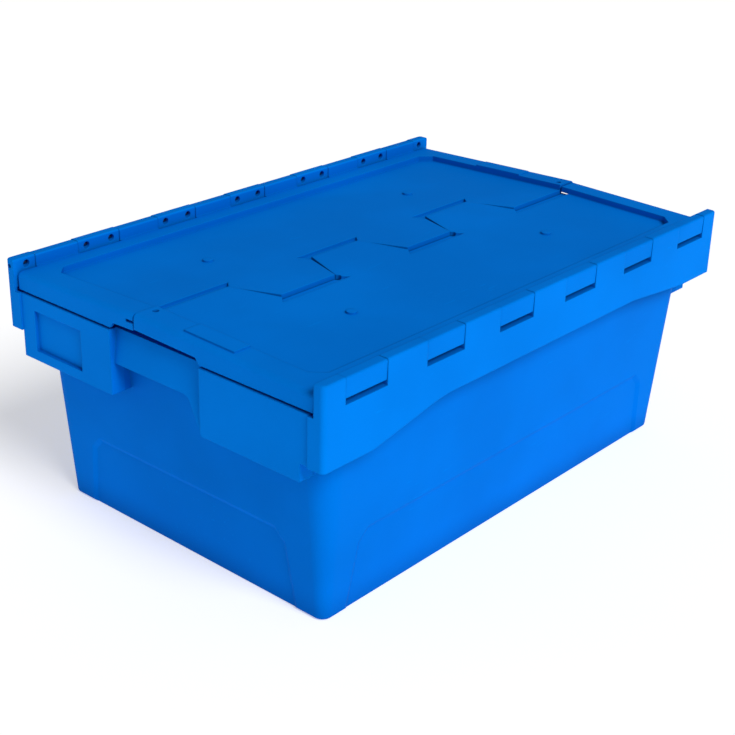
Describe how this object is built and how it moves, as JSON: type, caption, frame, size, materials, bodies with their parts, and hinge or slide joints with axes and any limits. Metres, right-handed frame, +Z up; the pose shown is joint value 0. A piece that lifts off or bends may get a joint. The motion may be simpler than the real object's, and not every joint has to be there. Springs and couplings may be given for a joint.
{
  "type": "attached-lid storage crate",
  "caption": "Tapered stacking storage crate with two interlocking half lids hinged on steel rods along its long flanges.",
  "frame": {"origin": "middle of the footprint at floor level", "axes": "+Z up, +X along the long side, +Y from the front lid's hinge towards the back lid's hinge"},
  "size_m": [0.6, 0.4, 0.246],
  "materials": {
    "tub_plastic": "fine satin moulding texture",
    "lid_plastic": "fine satin moulding texture",
    "rod_steel": "drawn wire, zinc plated"
  },
  "bodies": {
    "crate": {"crate_body": "tub_plastic", "front_hinge_rod": "rod_steel", "back_hinge_rod": "rod_steel"},
    "front_lid": {"front_lid": "lid_plastic"},
    "back_lid": {"back_lid": "lid_plastic"}
  },
  "joints": [
    {"name": "front_lid_hinge", "type": "hinge", "parent": "crate", "child": "front_lid", "pos_m": [0, -0.1945, 0.2395], "axis": [1, 0, 0], "range_deg": [0, 255]},
    {"name": "back_lid_hinge", "type": "hinge", "parent": "crate", "child": "back_lid", "pos_m": [0, 0.1945, 0.2395], "axis": [-1, 0, 0], "range_deg": [0, 255]}
  ]
}
